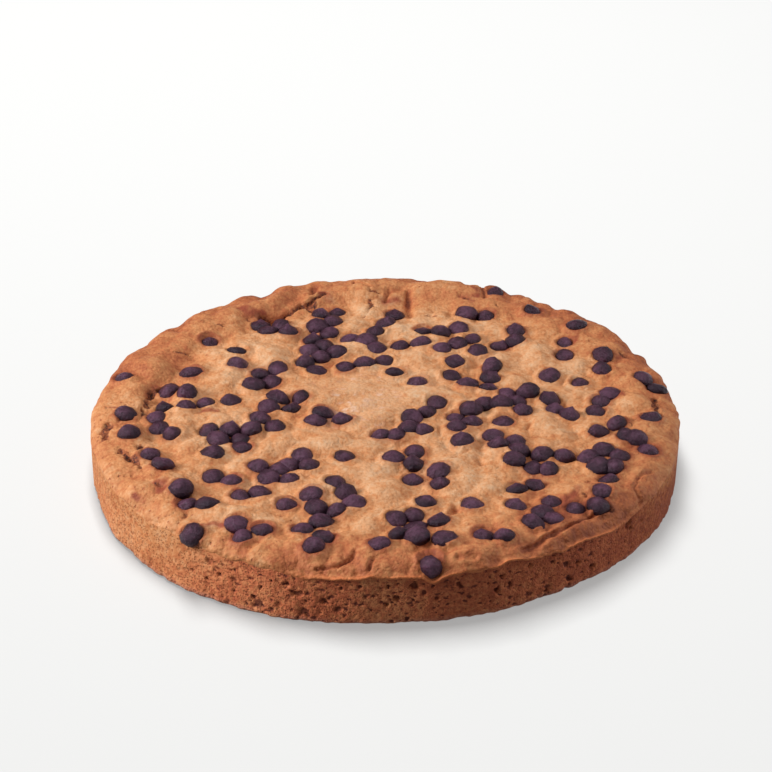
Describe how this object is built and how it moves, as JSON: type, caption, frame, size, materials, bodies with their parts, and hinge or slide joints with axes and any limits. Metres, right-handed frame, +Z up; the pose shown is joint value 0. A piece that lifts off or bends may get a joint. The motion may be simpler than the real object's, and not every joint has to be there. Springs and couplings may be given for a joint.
{
  "type": "cookie cake",
  "caption": "Whole round chocolate chip cookie cake, a thick flat disc with a puffed rim, a porous side wall and chocolate chips baked into the top.",
  "frame": {"origin": "middle of the flat underside, on the surface the cake lies on", "axes": "+Z up through the cake's thickness, -Y towards the front, +X to the right as seen from the front"},
  "size_m": [0.2538, 0.2541, 0.0333],
  "materials": {
    "baked_dough": "matte",
    "dark_chocolate": "satin"
  },
  "bodies": {
    "root": {"cookie_cake": "baked_dough"}
  },
  "joints": []
}
